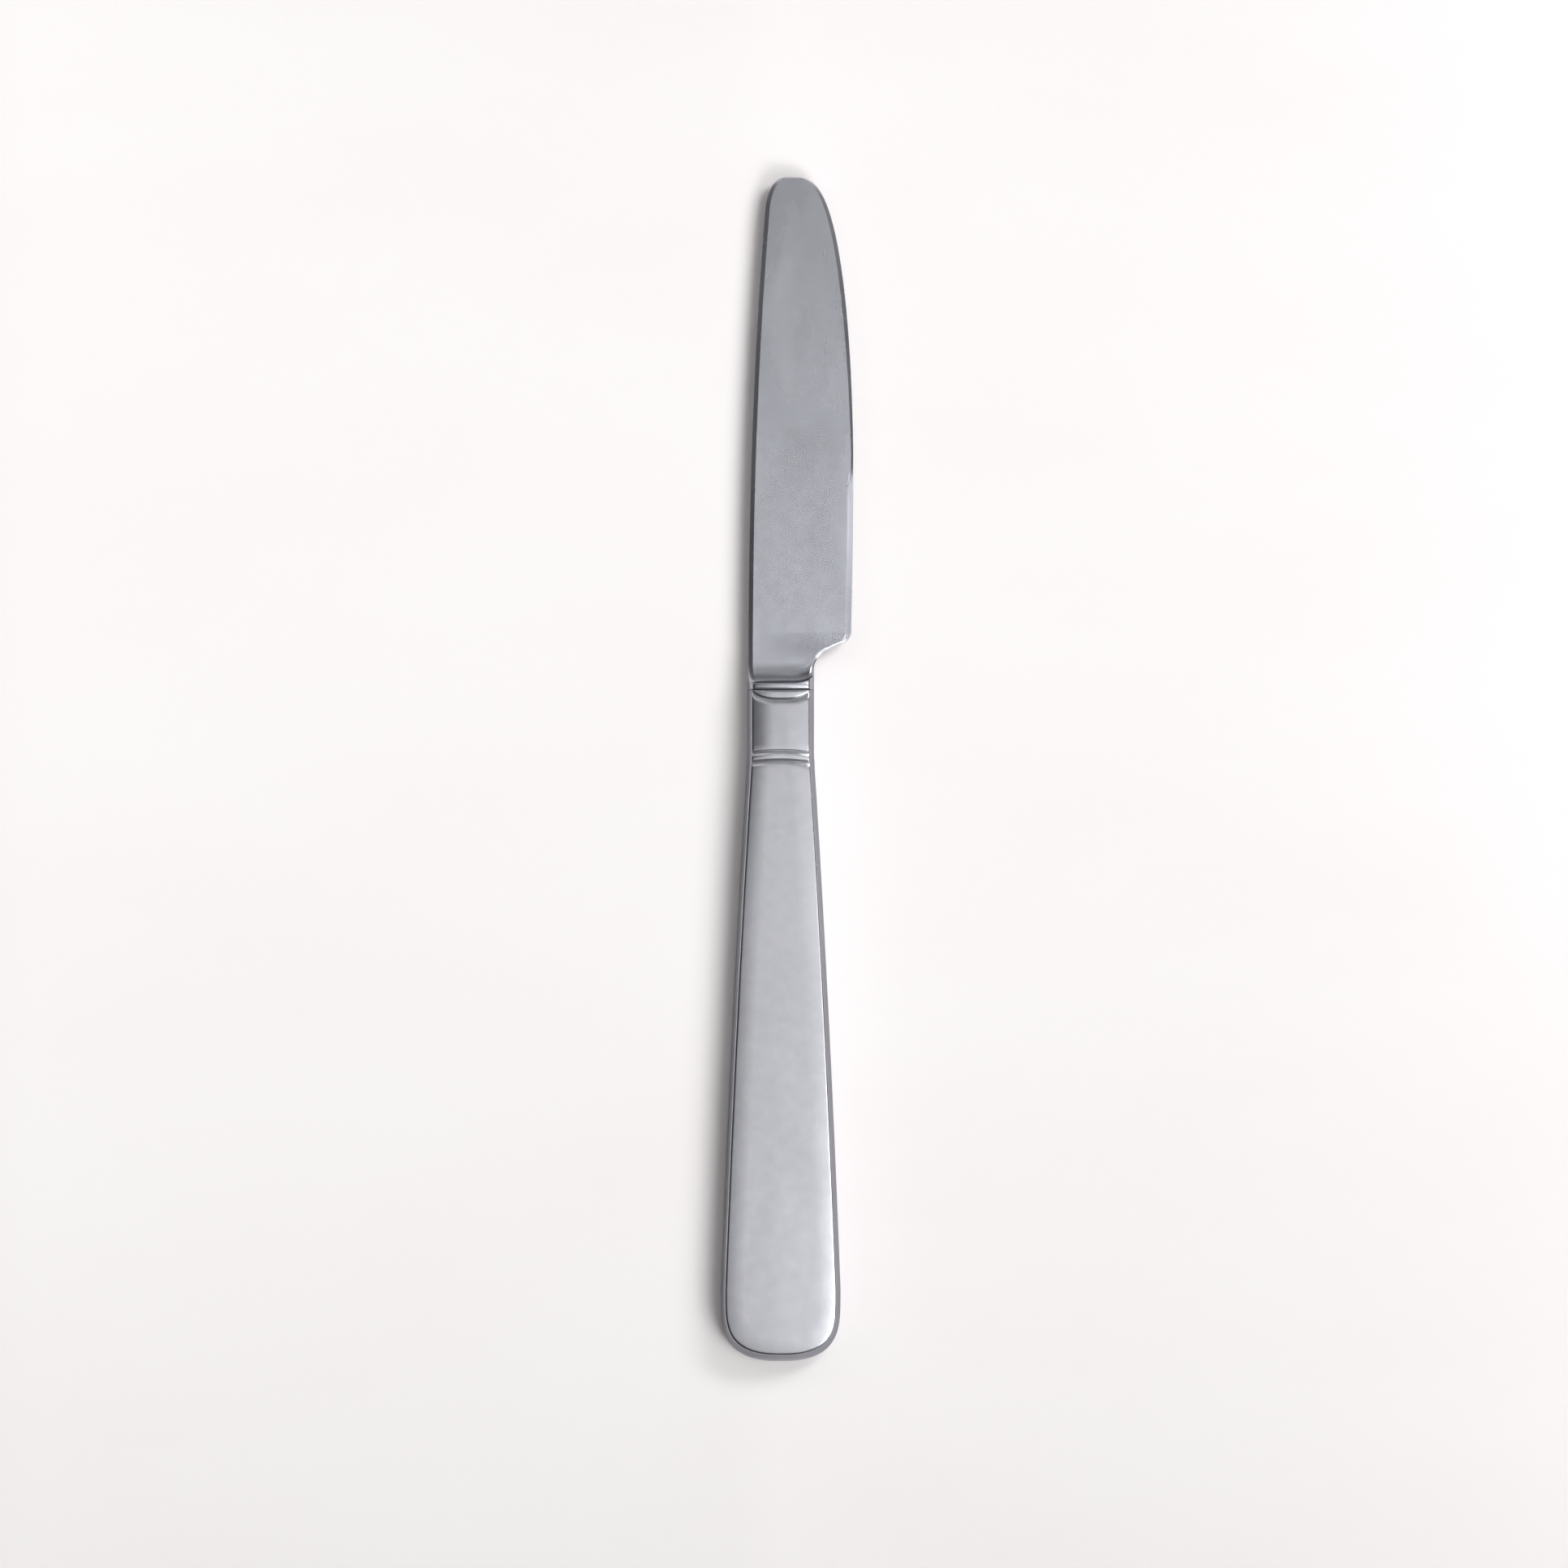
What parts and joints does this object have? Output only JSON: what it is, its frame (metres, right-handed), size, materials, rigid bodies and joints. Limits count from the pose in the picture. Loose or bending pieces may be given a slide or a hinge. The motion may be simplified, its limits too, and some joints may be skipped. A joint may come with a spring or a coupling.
{
  "type": "table knife",
  "caption": "Hollow-handled steel table knife with a round tip, stepped heel, coved bolster and beaded collar, for cutting and spreading food at the table.",
  "frame": {"origin": "on the flat back face of the handle, on the knife's axis, halfway between the butt and the collar's lower beads", "axes": "+Y from the butt to the tip, +X to the cutting edge, +Z from the back face to the front face"},
  "size_m": [0.0263, 0.235, 0.008],
  "materials": {
    "blade_steel": "hardened stainless steel, fine satin polish with light wear from use and washing",
    "handle_steel": "pressed stainless steel, satin polish with bright rolled edges",
    "braze": "brazed seam, ground flush and polished with the halves",
    "filling": "set cement, hidden inside the handle"
  },
  "bodies": {
    "root": {"blade": "blade_steel", "handle_front_half": "handle_steel", "handle_back_half": "handle_steel", "handle_seam": "braze", "handle_filling": "filling"}
  },
  "joints": []
}
